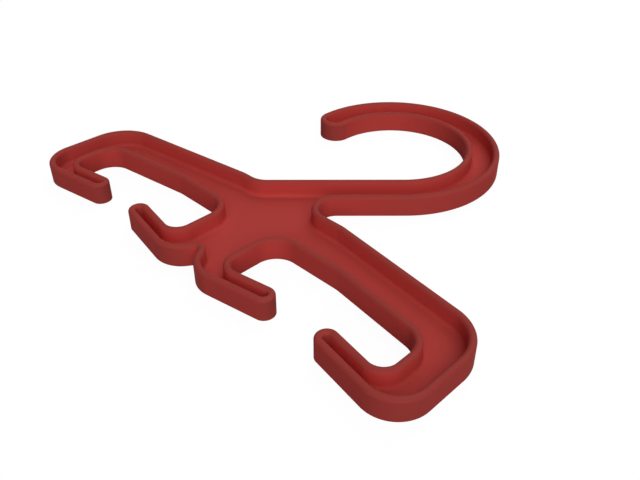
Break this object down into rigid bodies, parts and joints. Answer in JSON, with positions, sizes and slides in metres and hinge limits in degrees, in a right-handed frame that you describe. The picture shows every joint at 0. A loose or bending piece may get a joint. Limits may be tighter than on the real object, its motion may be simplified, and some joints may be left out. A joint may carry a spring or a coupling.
{
  "type": "belt hanger",
  "caption": "Flat moulded belt hanger: a round hook on a slanting stem over drooping arms, each with a belt slot held by lips, and a raised rim round a shallow channel.",
  "frame": {"origin": "on the surface that the hanger lies on, under the middle of its outline", "axes": "+X along the right arm, seen from the front; +Y from the arms towards the hook; +Z out of the rimmed front face, straight up as it lies on its flat back"},
  "size_m": [0.1396, 0.1126, 0.0062],
  "materials": {
    "red_plastic": "satin moulded plastic, dark red all through, fine even grain"
  },
  "bodies": {
    "root": {"hanger_body": "red_plastic"}
  },
  "joints": []
}
